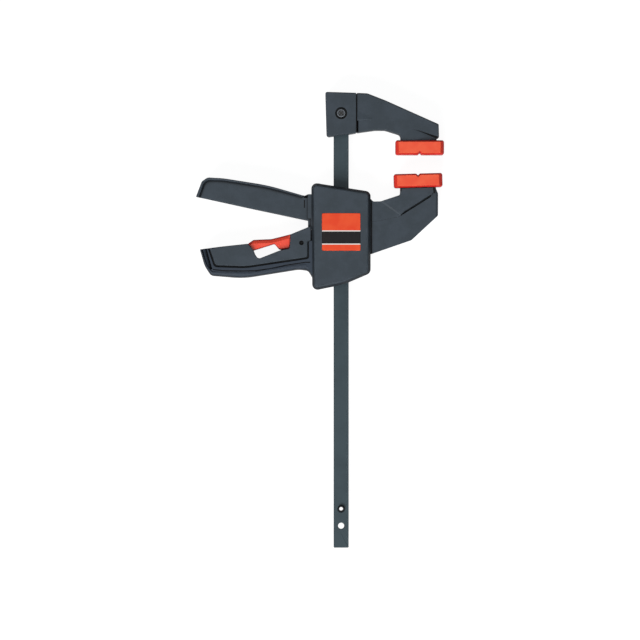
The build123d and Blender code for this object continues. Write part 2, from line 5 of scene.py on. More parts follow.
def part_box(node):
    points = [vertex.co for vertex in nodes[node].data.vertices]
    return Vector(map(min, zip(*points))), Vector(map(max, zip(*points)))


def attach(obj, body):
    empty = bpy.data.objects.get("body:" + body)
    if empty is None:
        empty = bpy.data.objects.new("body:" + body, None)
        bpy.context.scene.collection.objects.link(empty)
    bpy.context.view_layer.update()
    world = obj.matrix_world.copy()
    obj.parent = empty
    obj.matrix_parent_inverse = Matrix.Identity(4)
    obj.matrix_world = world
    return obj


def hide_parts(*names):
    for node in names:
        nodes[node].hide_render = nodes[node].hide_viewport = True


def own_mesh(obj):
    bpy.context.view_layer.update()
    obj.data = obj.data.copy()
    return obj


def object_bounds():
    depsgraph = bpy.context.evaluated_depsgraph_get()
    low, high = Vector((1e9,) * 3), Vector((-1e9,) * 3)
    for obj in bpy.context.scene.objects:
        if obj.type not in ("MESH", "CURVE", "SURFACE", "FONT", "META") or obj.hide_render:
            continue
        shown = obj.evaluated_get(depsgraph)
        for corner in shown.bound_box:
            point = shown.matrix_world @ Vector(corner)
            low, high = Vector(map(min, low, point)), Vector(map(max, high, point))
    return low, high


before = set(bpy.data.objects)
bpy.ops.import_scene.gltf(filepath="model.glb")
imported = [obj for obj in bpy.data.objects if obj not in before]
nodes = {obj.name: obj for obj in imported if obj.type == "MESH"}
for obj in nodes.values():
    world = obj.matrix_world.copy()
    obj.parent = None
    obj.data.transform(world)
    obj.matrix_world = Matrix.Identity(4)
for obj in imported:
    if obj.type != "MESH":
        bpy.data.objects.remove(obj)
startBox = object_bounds()
scene = bpy.context.scene
scene.view_settings.view_transform = "Standard"

# The clamp's own axes: x from the bar's middle to the pads, y along the bar from the fixed pad's
# face, z from the middle plane, all in millimetres
barLow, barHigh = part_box("bar")
barTop = 36.0  # bar's end above the fixed pad's face
origin = Vector(((barLow.x + barHigh.x) / 2, barHigh.y - barTop / 1000, (barLow.z + barHigh.z) / 2))


def atClamp(x, y, z):
    return origin + Vector((x, y, z)) / 1000


def linear(red, green, blue):
    # screen colour, 0 to 255, to the colour that shaders use
    def channel(c):
        c /= 255
        return c / 12.92 if c <= 0.04045 else ((c + 0.055) / 1.055) ** 2.4
    return (channel(red), channel(green), channel(blue), 1)


def operator(operation, reflected=False):
    # adds one Math node
    def applied(wire, other=None):
        return wire.math(operation, other, reflected)
    return applied


class Wire:
    # one output socket; sums on it add Math nodes
    def __init__(self, graph, socket):
        self.graph, self.socket = graph, socket

    def math(self, operation, other=None, swap=False):
        values = [self, other] if other is not None else [self]
        if swap:
            values.reverse()
        return self.graph.node("Math", {"operation": operation}, values)

    __add__, __radd__ = operator("ADD"), operator("ADD", True)
    __sub__, __rsub__ = operator("SUBTRACT"), operator("SUBTRACT", True)
    __mul__, __rmul__ = operator("MULTIPLY"), operator("MULTIPLY", True)
    __truediv__, __rtruediv__ = operator("DIVIDE"), operator("DIVIDE", True)
    __abs__ = operator("ABSOLUTE")


class Graph:
    # a node tree, of a material or of geometry
    def __init__(self, tree):
        self.tree = tree
        tree.nodes.clear()

    def node(self, kind, settings=None, values=(), output=0, family="ShaderNode"):
        made = self.tree.nodes.new(family + kind)
        for key, value in (settings or {}).items():
            setattr(made, key, value)
        pairs = values.items() if isinstance(values, dict) else enumerate(values)
        for key, value in pairs:
            for one in value if isinstance(value, list) else [value]:
                if isinstance(one, Wire):
                    self.tree.links.new(one.socket, made.inputs[key])
                elif one is not None:
                    made.inputs[key].default_value = one
        return Wire(self, made.outputs[output]) if made.outputs else None

    def vectorMath(self, operation, *values):
        output = 1 if operation in ("LENGTH", "DOT_PRODUCT") else 0
        return self.node("VectorMath", {"operation": operation}, values, output)

    def directSight(self):
        # 1 to the camera, in reflections and through clear parts, 0 for light
        path = self.node("LightPath").socket.node.outputs
        kinds = ("Is Camera Ray", "Is Glossy Ray", "Is Transmission Ray")
        camera, glossy, passed = [Wire(self, path[kind]) for kind in kinds]
        return camera + glossy + passed


class Sheet(Graph):
    # the node tree of one material; tones are screen colours and reaches are in millimetres
    def __init__(self, name):
        self.material = bpy.data.materials.new(name)
        self.material.use_nodes = True
        super().__init__(self.material.node_tree)

    def place(self):
        return self.node("TexCoord", output=3)

    def grain(self, scale, detail=3, roughness=0.5, place=None):
        values = {"Vector": place or self.place(), "Scale": scale, "Detail": detail, "Roughness": roughness}
        return self.node("TexNoise", {"noise_dimensions": "3D"}, values)

    def smooth(self, value, low, high, outLow=0.0, outHigh=1.0):
        values = {"Value": value, "From Min": low, "From Max": high, "To Min": outLow, "To Max": outHigh}
        return self.node("MapRange", {"interpolation_type": "SMOOTHSTEP"}, values)

    def below(self, value, edge, soft):
        # 1 below the edge, 0 above it
        return self.smooth(value, edge - soft, edge + soft, 1, 0)

    def blend(self, share, first, second):
        first, second = [linear(*tone) if isinstance(tone, tuple) else tone for tone in (first, second)]
        return self.node("Mix", {"data_type": "RGBA"}, {0: share, 6: first, 7: second}, output=2)

    def recess(self, reach, local=True):
        # 1 deep in a groove or corner, 0 on open faces
        settings = {"samples": 8, "only_local": local}
        seen = self.node("AmbientOcclusion", settings, {"Distance": reach / 1000}, output=1)
        return self.smooth(seen, 0.45, 0.95, 1, 0)

    def edges(self, reach):
        # 1 on edges, 0 on flat faces
        turned = self.node("Bevel", {"samples": 6}, {"Radius": reach / 1000})
        own = self.node("NewGeometry", output=1)
        return self.smooth(self.vectorMath("DOT_PRODUCT", turned, own), 0.9, 0.992, 1, 0)

    def level(self):
        # 1 on faces to the front and back, 0 on upright walls
        normal = self.node("NewGeometry", output=1)
        return abs(self.node("SeparateXYZ", {}, [normal], output=2))

    def sides(self, low=0.2, high=0.8):
        # 1 on walls and slopes
        return self.smooth(self.level(), low, high, 1, 0)

    def slopes(self):
        # 1 on steep slopes alone
        level = self.level()
        return self.smooth(level, 0.4, 0.8, 1, 0) * self.smooth(level, 0.04, 0.2)

    def finish(self, colour, roughness, bump, strength, depth, shine=0.5, metal=0.0):
        values = {"Strength": strength, "Distance": depth / 1000, "Height": bump}
        normal = self.node("Bump", {}, values)
        surface = self.node("BsdfPrincipled", {}, {
            "Base Color": colour, "Roughness": roughness, "Normal": normal, "Specular IOR Level": shine,
            "Metallic": metal})
        self.node("OutputMaterial", {}, {"Surface": surface})
        return self.material


def charcoalPlastic(name, size):
    # glass filled nylon: matt, faintly mottled, with a fine spark texture; painted shade darkens its walls
    # and slopes, its grooves and where pieces meet, and edges are lightened by scuffs and a painted highlight
    sheet = Sheet(name)
    mottle = sheet.grain(size["mottle"], 4, 0.6)
    spark = sheet.grain(size["spark"], 2, 0.6)
    wearAndHighlight = sheet.smooth(sheet.grain(size["wearAndHighlight"], 3, 0.6), 0.35, 0.7, 0.2, 1)
    colour = sheet.blend(sheet.smooth(mottle, 0.36, 0.66), size["deep"], size["face"])
    # the wall, slope, joint and groove layers are painted shade; the edge layer is scuffing with a painted
    # highlight
    layers = {
        "fleck": sheet.smooth(spark, 0.60, 0.76), "side": sheet.sides(), "slope": sheet.slopes(),
        "scuffAndHighlight": sheet.edges(size["edgeReach"]) * wearAndHighlight, "joint": sheet.recess(size["jointReach"], False),
        "grooveShade": sheet.recess(size["grooveReach"]),
    }
    for layer, share in layers.items():
        colour = sheet.blend(share * size[layer], colour, size[layer + "Tone"])
    roughness = sheet.smooth(mottle, 0.3, 0.7, size["rough"] - 0.05, size["rough"] + 0.07)
    return sheet.finish(colour, roughness, spark, size["bump"], 0.12, size["shine"])


def blackenedBar(name, size):
    # cold drawn flat bar, blackened: faint draw lines along its length and lighter corners
    sheet = Sheet(name)
    along = sheet.node("Mapping", {}, {"Vector": sheet.place(), "Scale": (1, size["stretch"], 1)})
    lines = sheet.grain(size["lines"], 3, 0.7, along)
    cloud = sheet.grain(size["cloud"], 4, 0.6)
    colour = sheet.blend(sheet.smooth(cloud, 0.35, 0.65), size["deep"], size["face"])
    colour = sheet.blend(sheet.smooth(lines, 0.58, 0.75, 0, size["drawn"]), colour, size["drawnTone"])
    colour = sheet.blend(sheet.edges(size["edgeReach"]) * size["wear"], colour, size["wearTone"])
    roughness = sheet.smooth(lines, 0.3, 0.7, 0.4, 0.55)
    return sheet.finish(colour, roughness, lines, 0.12, 0.08, size["shine"])


def brightSteel(name, light, dark, metal=0.95, rough=0.3, shine=0.5):
    # turned or pressed steel with fine machining grain
    sheet = Sheet(name)
    grain = sheet.grain(1500, 3, 0.6)
    cloud = sheet.grain(160, 3, 0.6)
    colour = sheet.blend(sheet.smooth(cloud, 0.35, 0.65), dark, light)
    roughness = sheet.smooth(grain, 0.3, 0.7, rough - 0.05, rough + 0.12)
    return sheet.finish(colour, roughness, grain, 0.1, 0.06, shine, metal)


def drivenScrew(name, middle, size, cross):
    # blackened screw, darker beyond its rim, whose rim is lighter, rubbed bright and with a painted
    # highlight; its cross of the given width and length is painted dark as painted shade, with painted shade
    # in its recesses
    sheet = Sheet(name)
    grain = sheet.grain(1500, 3, 0.6)
    flat = sheet.vectorMath("MULTIPLY", sheet.vectorMath("SUBTRACT", sheet.place(), middle), (1, 1, 0))
    out = sheet.vectorMath("LENGTH", flat) * 1000
    # lighter ring on the rim: rubbed bright, and a painted highlight
    rim = sheet.smooth(out, size["rimFrom"], size["rimFrom"] + 0.12) * sheet.below(out, size["rimTo"], 0.06)
    wearAndHighlight = rim * sheet.smooth(grain, 0.25, 0.5, 0.55, 1)
    colour = sheet.blend(sheet.below(out, size["rimTo"], 0.1), size["side"], size["top"])
    colour = sheet.blend(wearAndHighlight, colour, size["wearAndHighlight"])
    values = {"Vector": flat, "Angle": math.pi / 4}
    across = sheet.node("SeparateXYZ", {}, [
        sheet.node("VectorRotate", {"rotation_type": "Z_AXIS"}, values)])
    x, y = abs(across) * 1000, abs(Wire(sheet, across.socket.node.outputs[1])) * 1000
    # the cross is painted nearly black, as painted shade in its recess
    for u, v in ((x, y), (y, x)):
        slot = sheet.below(u, cross[0] / 2, 0.05) * sheet.below(v, cross[1] / 2, 0.05)
        colour = sheet.blend(slot, colour, size["slot"])
    # painted shade in the cross and other recesses
    colour = sheet.blend(sheet.recess(2.0) * size["grooveShade"], colour, size["grooveShadeTone"])
    roughness = sheet.smooth(grain, 0.3, 0.7, 0.4, 0.55)
    return sheet.finish(colour, roughness, grain, 0.1, 0.06, metal=0.2)


def mouldedPlastic(name, face, deep, rough=0.42, bump=0.12, grooveShade=0.5, shine=0.3):
    # moulded plastic, slightly deeper in patches, with painted shade deepening it on its sides and in its
    # grooves
    sheet = Sheet(name)
    cloud = sheet.grain(120, 3, 0.55)
    skin = sheet.grain(1300, 2, 0.5)

    def shade(*shares):
        return tuple(share * channel for share, channel in zip(shares, deep))

    colour = sheet.blend(sheet.smooth(cloud, 0.32, 0.68), deep, face)
    # painted shade: a deeper tone on walls and slopes
    colour = sheet.blend(sheet.sides(0.6, 0.97) * 0.9, colour, shade(0.88, 0.34, 0.6))
    # painted shade in grooves and corners
    colour = sheet.blend(sheet.recess(1.6) * grooveShade, colour, shade(0.35, 0.22, 0.3))
    roughness = sheet.smooth(skin, 0.3, 0.7, rough - 0.05, rough + 0.09)
    return sheet.finish(colour, roughness, skin, bump, 0.1, shine)


def labelInlay(name, size):
    # printed inlay: red field and a plain dark band with pale keylines
    sheet = Sheet(name)
    height = sheet.node("SeparateXYZ", {}, {"Vector": sheet.place()}, output=1)
    up = (height - (origin.y + labelMiddle / 1000)) * 1000
    cloud = sheet.grain(150, 3, 0.5)
    colour = sheet.blend(sheet.smooth(cloud, 0.3, 0.7), size["deep"], size["red"])
    half = size["bandHeight"] / 2
    fromBand = abs(up - size["bandY"])
    colour = sheet.blend(sheet.below(fromBand, half + size["keyline"], 0.05), colour, size["pale"])
    colour = sheet.blend(sheet.below(fromBand, half, 0.06), colour, size["dark"])
    film = sheet.grain(420, 2, 0.5)
    return sheet.finish(colour, sheet.smooth(film, 0.3, 0.7, 0.38, 0.46), film, 0.05, 0.06, size["shine"])


print("finishes")
# the side, slope, joint and groove tones are painted shade; the edge scuff tone is scuffing with a painted
# highlight
plasticSizes = {
    "mottle": 95, "spark": 2300, "wearAndHighlight": 340, "edgeReach": 0.5, "jointReach": 2.5, "grooveReach": 1.8,
    "face": (60, 68, 76), "deep": (52, 60, 67), "rough": 0.5, "bump": 0.35, "shine": 0.15,
    "fleck": 0.2, "fleckTone": (96, 104, 112), "side": 0.38, "sideTone": (22, 26, 32),
    "slope": 0.8, "slopeTone": (14, 17, 21), "scuffAndHighlight": 0.32, "scuffAndHighlightTone": (104, 112, 120),
    "joint": 0.8, "jointTone": (16, 19, 23), "grooveShade": 0.9, "grooveShadeTone": (12, 14, 17),
}
gripSkinSizes = {
    **plasticSizes, "mottle": 70, "spark": 1700, "fleck": 0.1, "rough": 0.48, "bump": 0.25, "scuffAndHighlight": 0.12,
    "face": (51, 60, 71), "deep": (45, 53, 64),
}
barSkinSizes = {
    "lines": 2400, "stretch": 0.018, "cloud": 48, "face": (50, 64, 70), "deep": (43, 56, 62), "shine": 0.2,
    "drawn": 0.2, "drawnTone": (74, 84, 90), "edgeReach": 0.3, "wear": 0.2, "wearTone": (96, 100, 104),
}
inlaySizes = {
    "bandY": -3.5, "bandHeight": 7.6, "keyline": 0.65, "red": (234, 84, 46), "deep": (228, 70, 38),
    "pale": (232, 226, 220), "dark": (17, 15, 17), "shine": 0.12,
}
labelMiddle = -48.6
finishes = {
    "charcoal_plastic": charcoalPlastic("charcoalPlastic", plasticSizes),
    "soft_grip": charcoalPlastic("softGrip", gripSkinSizes),
    "bar_steel": blackenedBar("blackenedBar", barSkinSizes),
    "pin_steel": brightSteel("pinSteel", (20, 21, 24), (11, 12, 14), 0.1, 0.5, 0.12),
    "screw_steel": brightSteel("screwSteel", (120, 124, 128), (72, 76, 80), 0.8, 0.34),
    "plate_steel": brightSteel("plateSteel", (150, 152, 155), (110, 113, 117), 0.95, 0.32),
    "spring_steel": brightSteel("springSteel", (172, 175, 178), (140, 143, 147), 0.95, 0.24),
    "guide_plastic": mouldedPlastic("guidePlastic", (208, 204, 192), (192, 188, 176), 0.45, 0.1, 0.2),
    "pad_red": mouldedPlastic("padRed", (242, 92, 56), (236, 78, 46), 0.46, 0.18, 0.7),
    "lever_red": mouldedPlastic("leverRed", (238, 80, 56), (230, 64, 42), 0.38, 0.1, 0.8),
    "label_red": labelInlay("labelInlay", inlaySizes),
}


def rounded(corners, steps=6):
    # closed outline of (x, y, radius) corners as points
    points = []
    count = len(corners)
    for i, (x, y, r) in enumerate(corners):
        here = Vector((x, y))
        before = Vector(corners[i - 1][:2]) - here
        after = Vector(corners[(i + 1) % count][:2]) - here
        turn = before.angle(after)
        if r <= 0 or abs(turn - math.pi) < 1e-4:
            points.append(here)
            continue
        reach = min(r / math.tan(turn / 2), 0.49 * before.length, 0.49 * after.length)
        r = reach * math.tan(turn / 2)
        bisector = (before.normalized() + after.normalized()).normalized()
        centre = here + bisector * (r / math.sin(turn / 2))
        a = here + before.normalized() * reach - centre
        sweep = a.angle_signed(here + after.normalized() * reach - centre)
        for k in range(steps + 1):
            points.append(centre + Matrix.Rotation(-sweep * k / steps, 2) @ a)
    return points


def placed(name, data):
    made = bpy.data.objects.new(name, data)
    scene.collection.objects.link(made)
    return made


def solid(name, build):
    # the faces as one piece, facing outwards
    mesh = bpy.data.meshes.new(name)
    bmesh.ops.recalc_face_normals(build, faces=build.faces)
    build.to_mesh(mesh)
    build.free()
    return placed(name, mesh)


def stacked(name, build, rings):
    # closed solid through rings of matched corners
    for lower, upper in zip(rings, rings[1:]):
        for i in range(len(lower)):
            j = (i + 1) % len(lower)
            build.faces.new((lower[i], lower[j], upper[j], upper[i]))
    build.faces.new(rings[0][::-1])
    build.faces.new(rings[-1])
    return solid(name, build)


def flipped(level):
    # a height, or a function of x and y that gives one, on the other side of the middle plane
    return (lambda x, y: -level(x, y)) if callable(level) else -level


def prism(points, low, high):
    # closed solid over an outline; low and high are heights, or functions of x and y
    build = bmesh.new()
    rings = []
    for level in (low, high):
        heights = [level(p[0], p[1]) if callable(level) else level for p in points]
        rings.append([build.verts.new(atClamp(p[0], p[1], h)) for p, h in zip(points, heights)])
    return stacked("part", build, rings)


def disc(x, y, radius, low, high, sides=48):
    ring = [(x + radius * math.cos(2 * math.pi * k / sides), y + radius * math.sin(2 * math.pi * k / sides))
            for k in range(sides)]
    return prism(ring, low, high)


def settled(made):
    # modifiers worked into the mesh
    graph = bpy.context.evaluated_depsgraph_get()
    graph.update()
    mesh = bpy.data.meshes.new_from_object(made.evaluated_get(graph))
    made.modifiers.clear()
    old = made.data
    made.data = mesh
    bpy.data.meshes.remove(old)
    return made


def carve(made, cutters):
    for cutter in cutters:
        step = made.modifiers.new("carve", "BOOLEAN")
        step.operation, step.solver, step.object = "DIFFERENCE", "EXACT", cutter
        settled(made)
        bpy.data.objects.remove(cutter)
    return made


def engrave(made, points, low, high):
    # the same cut on the front and mirrored to the back
    return carve(made, [prism(points, low, high), prism(points, flipped(high), flipped(low))])


def merged(node, name):
    # a copy of a piece, its triangles joined at their corners
    mesh = nodes[node].data.copy()
    build = bmesh.new()
    build.from_mesh(mesh)
    bmesh.ops.remove_doubles(build, verts=build.verts, dist=1e-7)
    bmesh.ops.dissolve_limit(build, angle_limit=math.radians(0.1), verts=build.verts, edges=build.edges)
    build.to_mesh(mesh)
    build.free()
    mesh.materials.clear()
    return placed(name, mesh)


def softened(node, name, edge=0.4, steps=2, limit=28):
    # a copy of a piece with rounded edges
    made = merged(node, name)
    bevel = made.modifiers.new("edges", "BEVEL")
    bevel.width, bevel.segments, bevel.limit_method = edge / 1000, steps, "ANGLE"
    bevel.angle_limit, bevel.use_clamp_overlap, bevel.miter_outer = math.radians(limit), False, "MITER_ARC"
    return shaded(settled(made))


def joined(name, parts):
    # several closed solids as one piece
    mesh = bpy.data.meshes.new(name)
    build = bmesh.new()
    for part in parts:
        build.from_mesh(part.data)
        bpy.data.objects.remove(part)
    build.to_mesh(mesh)
    build.free()
    return placed(name, mesh)


def roundTop(radius, high, grow=0.0, steps=4):
    # (inset, height) levels up to a face whose edge is rounded
    turns = [math.pi / 2 * k / steps for k in reversed(range(steps + 1))]
    return [(radius * (1 - math.sin(turn)) - grow, high - radius * (1 - math.cos(turn))) for turn in turns]


def roundOver(radius, half):
    # the same on both faces of a plate
    return mirrored(roundTop(radius, half)[::-1])


def mirrored(profile):
    # (inset, height) levels from the front face down, led up to by the same ones at the back
    return [(inset, -height) for inset, height in profile] + profile[::-1]


def shaded(made):
    # smooth over rounded edges, crisp over sharp ones, with flat faces flat
    for face in made.data.polygons:
        face.use_smooth = True
    made.data.set_sharp_from_angle(angle=math.radians(30))
    even = made.modifiers.new("shading", "WEIGHTED_NORMAL")
    even.keep_sharp = True
    return settled(made)


def insetCorners(corners, reach):
    # the outline with each side moved inwards; reach is one distance, or one for each side
    count = len(corners)
    reaches = reach if isinstance(reach, (list, tuple)) else [reach] * count
    area = sum(corners[i][0] * corners[(i + 1) % count][1] - corners[(i + 1) % count][0] * corners[i][1]
               for i in range(count))
    inward = 1 if area > 0 else -1
    sides = []
    for i in range(count):
        start, end = Vector(corners[i][:2]), Vector(corners[(i + 1) % count][:2])
        along = (end - start).normalized()
        sides.append((start + Vector((-along.y, along.x)) * inward * reaches[i], along))
    moved = []
    for i in range(count):
        (p, u), (q, v) = sides[i - 1], sides[i]
        turn = u.x * v.y - u.y * v.x
        w = q - p
        here = p + u * ((w.x * v.y - w.y * v.x) / turn)
        near = (reaches[i - 1] + reaches[i]) / 2
        r = corners[i][2]
        if r:
            r = max(r - near, 0.05) if turn * inward > 0 else r + near
        moved.append((here.x, here.y, r))
    return moved


def layered(name, corners, levels, weights=None, steps=6):
    # closed solid whose outline draws in at each (inset, height) level; weights scale the inset side by side
    build = bmesh.new()
    rings = []
    for inset, height in levels:
        reach = [inset * w for w in weights] if weights else inset
        points = rounded(insetCorners(corners, reach), steps)
        rings.append([build.verts.new(atClamp(p.x, p.y, height)) for p in points])
    return stacked(name, build, rings)


def ridges(outer, inner, profile, fade=0.0):
    # raised edges, front and back, between two open lines of matched corners; profile gives (share of the way
    # across, height), and fade is the share of the height lost by the far end
    made = []
    pairs = list(zip(rounded(outer, 8), rounded(inner, 8)))
    foot = profile[0][1]
    for side in (1, -1):
        build = bmesh.new()
        rows = []
        for k, (a, b) in enumerate(pairs):
            left = 1 - fade * k / (len(pairs) - 1)
            row = [(a + (b - a) * share, side * (foot + (height - foot) * left)) for share, height in profile]
            rows.append([build.verts.new(atClamp(*place, level)) for place, level in row])
        for row, after in zip(rows, rows[1:]):
            for i in range(len(row)):
                build.faces.new((row[i], row[i - 1], after[i - 1], after[i]))
        build.faces.new(rows[0])
        build.faces.new(rows[-1][::-1])
        made.append(solid("ridge", build))
    return made


def dress(made, body, slotName, *stoodFor):
    made.data.materials.clear()
    made.data.materials.append(finishes[slotName])
    for face in made.data.polygons:
        face.material_index = 0
    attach(made, body)
    if stoodFor:
        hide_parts(*stoodFor)
    return made


class Shape(Graph):
    # a geometry node tree with named inputs for its sizes
    def __init__(self, name, sizes):
        super().__init__(bpy.data.node_groups.new(name, "GeometryNodeTree"))
        face = self.tree.interface
        face.new_socket("Geometry", in_out="INPUT", socket_type="NodeSocketGeometry")
        face.new_socket("Geometry", in_out="OUTPUT", socket_type="NodeSocketGeometry")
        for size in sizes:
            face.new_socket(size, in_out="INPUT", socket_type="NodeSocketFloat")
        face.new_socket("Finish", in_out="INPUT", socket_type="NodeSocketMaterial")
        self.inputs = self.tree.nodes.new("NodeGroupInput")

    def geometry(self, kind, settings=None, values=()):
        return self.node(kind, settings, values, family="GeometryNode")

    def value(self, name):
        return Wire(self, self.inputs.outputs[name])

    def vector(self, x, y, z):
        return self.node("CombineXYZ", {}, [x, y, z])

    def close(self, made):
        made = self.geometry("RealizeInstances", {}, [made])
        made = self.geometry("SetMaterial", {}, {"Geometry": made, "Material": self.value("Finish")})
        self.tree.links.new(made.socket, self.tree.nodes.new("NodeGroupOutput").inputs[0])
        return self.tree


def grown(name, tree, points, finish, sizes, lengths=None):
    # the tree worked into a plain mesh, from its points and sizes in millimetres
    mesh = bpy.data.meshes.new(name)
    mesh.from_pydata([atClamp(*point) for point in points], [], [])
    if lengths:
        shank = mesh.attributes.new("shank", "FLOAT", "POINT")
        shank.data.foreach_set("value", [length / 1000 for length in lengths])
    made = placed(name, mesh)
    step = made.modifiers.new("grow", "NODES")
    step.node_group = tree
    for item in tree.interface.items_tree:
        if item.name in sizes:
            step[item.identifier] = float(sizes[item.name]) / (1 if item.name in ("Turn", "Turns") else 1000)
        elif item.name == "Finish":
            step[item.identifier] = finishes[finish]
    return shaded(settled(made))


def screwTree():
    # a cross head screw on each point: chamfered head, dished top, cross recess, shank as long as the
    # point says; the dish narrows to its floor, and the second arm of the cross is cut a little higher than
    # the first, so that their floors don't coincide
    dishFloor, apart = 0.82, 0.00004
    shape = Shape("screws", [
        "Head radius", "Head height", "Chamfer", "Dish radius", "Dish depth", "Cross length", "Cross width",
        "Cross depth", "Shank radius", "Turn"])
    radius, height, chamfer = [shape.value(name) for name in ("Head radius", "Head height", "Chamfer")]
    dish, sunk, depth = [shape.value(name) for name in ("Dish radius", "Dish depth", "Cross depth")]
    blank = shape.geometry("MeshCylinder", {"fill_type": "NGON"}, {
        "Vertices": 48, "Radius": radius, "Depth": height - chamfer})
    top = Wire(shape, blank.socket.node.outputs["Top"])
    middle = shape.vector(0, 0, (height - chamfer) / 2)
    blank = shape.geometry("Transform", {}, {"Geometry": blank, "Translation": middle})

    def raised(mesh, face, rise, scale):
        made = shape.geometry("ExtrudeMesh", {"mode": "FACES"}, {
            "Mesh": mesh, "Selection": face, "Offset Scale": rise, "Individual": False})
        face = Wire(shape, made.socket.node.outputs["Top"])
        values = {"Geometry": made, "Selection": face, "Scale": scale}
        return shape.geometry("ScaleElements", {"domain": "FACE"}, values), face

    blank, top = raised(blank, top, chamfer, (radius - chamfer) / radius)
    blank, top = raised(blank, top, 0.0, dish / (radius - chamfer))
    head, top = raised(blank, top, 0 - sunk, dishFloor)
    arm = shape.geometry("MeshCube", {}, {
        "Size": shape.vector(shape.value("Cross length"), shape.value("Cross width"), depth * 2)})
    for turn, lift in ((math.pi / 4, 0.0), (-math.pi / 4, apart)):
        cut = shape.geometry("Transform", {}, {
            "Geometry": arm, "Translation": shape.vector(0, 0, height - sunk + lift),
            "Rotation": Euler((0, 0, turn))})
        values = {"Mesh 1": head, "Mesh 2": cut}
        head = shape.geometry("MeshBoolean", {"operation": "DIFFERENCE"}, values)
    rod = shape.geometry("MeshCylinder", {"fill_type": "NGON"}, {
        "Vertices": 24, "Radius": shape.value("Shank radius"), "Depth": 1.0})
    rod = shape.geometry("Transform", {}, {"Geometry": rod, "Translation": (0, 0, -0.5)})
    length = shape.geometry("InputNamedAttribute", {"data_type": "FLOAT"}, {"Name": "shank"})
    places = {"Points": shape.value("Geometry"), "Rotation": shape.vector(shape.value("Turn"), 0, 0)}
    heads = shape.geometry("InstanceOnPoints", {}, {**places, "Instance": head})
    values = {**places, "Instance": rod, "Scale": shape.vector(1, 1, length)}
    rods = shape.geometry("InstanceOnPoints", {}, values)
    return shape.close(shape.geometry("JoinGeometry", {}, {"Geometry": [heads, rods]}))


def springTree():
    # a round wire spring along the bar on each point, with one closed turn at each end
    shape = Shape("springs", ["Coil radius", "Wire radius", "Length", "Turns"])
    wire, turns = shape.value("Wire radius"), shape.value("Turns")
    coil = shape.geometry("CurveSpiral", {}, {
        "Resolution": 26, "Rotations": turns, "Start Radius": shape.value("Coil radius"),
        "End Radius": shape.value("Coil radius"), "Height": shape.value("Length")})
    along = shape.geometry("SplineParameter")
    closed = 1 / turns

    def climb(start, end, rise):
        return shape.node("MapRange", {}, {
            "Value": along, "From Min": start, "From Max": end, "To Min": 0.0, "To Max": rise})

    ends = wire * 2
    height = climb(0.0, closed, ends) + climb(1 - closed, 1.0, ends)
    height = height + climb(closed, 1 - closed, shape.value("Length") - ends * 2)
    place = shape.geometry("InputPosition")
    x = shape.node("SeparateXYZ", {}, [place])
    y = Wire(shape, x.socket.node.outputs[1])
    place = shape.vector(x, height, y)
    coil = shape.geometry("SetPosition", {}, {"Geometry": coil, "Position": place})
    section = shape.geometry("CurvePrimitiveCircle", {}, {"Resolution": 10, "Radius": wire})
    values = {"Curve": coil, "Profile Curve": section, "Fill Caps": True}
    coil = shape.geometry("CurveToMesh", {}, values)
    return shape.close(shape.geometry("InstanceOnPoints", {}, {
        "Points": shape.value("Geometry"), "Instance": coil}))


print("carried over pieces")
plain = {
    "stop_pin": "pin_steel", "fixed_jaw_nut": "screw_steel", "upper_guide": "guide_plastic",
    "lower_guide": "guide_plastic", "lever_pin": "pin_steel", "brake_fulcrum_pin": "pin_steel",
    "drive_plate_1": "plate_steel", "drive_plate_2": "plate_steel", "brake_plate": "plate_steel",
}
for node, slotName in plain.items():
    mesh = nodes[node].data
    mesh.materials.clear()
    mesh.materials.append(finishes[slotName])
dress(softened("bar", "flatBar", 0.35, 3), "bar_and_fixed_jaw", "bar_steel", "bar")


print("screws and springs")
screws = screwTree()
jawScrewPlace = (0, 26.2)
jawScrewSeat, jawScrewLength = 7.9, 18.2  # height of its seat, and its length below the head
jawScrewSizes = {
    "Head radius": 2.6, "Head height": 2.0, "Chamfer": 0.3, "Dish radius": 2.0, "Dish depth": 0.35,
    "Cross length": 3.0, "Cross width": 0.95, "Cross depth": 1.3, "Shank radius": 1.5, "Turn": 0,
}
# the rubbed rim tone is partly a painted highlight; the slot and groove tones are painted shade
jawScrewSkin = {
    "rimFrom": 2.1, "rimTo": 2.5, "top": (52, 56, 61), "side": (20, 22, 25), "wearAndHighlight": (122, 128, 134),
    "slot": (5, 6, 7), "grooveShade": 0.95, "grooveShadeTone": (6, 7, 8),
}
cross = (jawScrewSizes["Cross width"], jawScrewSizes["Cross length"])
finishes["jaw_screw"] = drivenScrew("jawScrewSteel", atClamp(*jawScrewPlace, 0), jawScrewSkin, cross)
places = [(*jawScrewPlace, jawScrewSeat)]
jawScrew = grown("jawScrew", screws, places, "jaw_screw", jawScrewSizes, [jawScrewLength])
dress(jawScrew, "bar_and_fixed_jaw", "screw_steel", "fixed_jaw_screw")
jawScrew.data.materials[0] = finishes["jaw_screw"]

# each screw: x, y, the height of its seat at the back, and its length below the head
housingScrewPlaces = [
    (-14.3, -20.9, -10.8, 18.6), (14.3, -27.4, -10.8, 18.6), (14.1, -70.6, -10.8, 18.6),
    (-14.4, -80.6, -10.8, 18.6), (-69.0, -64.2, -8.2, 16.4), (52.5, -31.0, -7.3, 14.6),
]
housingWellRadius = 2.85
housingScrewSizes = {
    "Head radius": 2.8, "Head height": 1.8, "Chamfer": 0.35, "Dish radius": 1.9, "Dish depth": 0.15,
    "Cross length": 2.9, "Cross width": 0.8, "Cross depth": 0.95, "Shank radius": 1.5, "Turn": math.pi,
}
places = [place[:3] for place in housingScrewPlaces]
lengths = [place[3] for place in housingScrewPlaces]
housingScrews = grown("housingScrews", screws, places, "screw_steel", housingScrewSizes, lengths)
dress(housingScrews, "sliding_jaw", "screw_steel", "housing_screws")

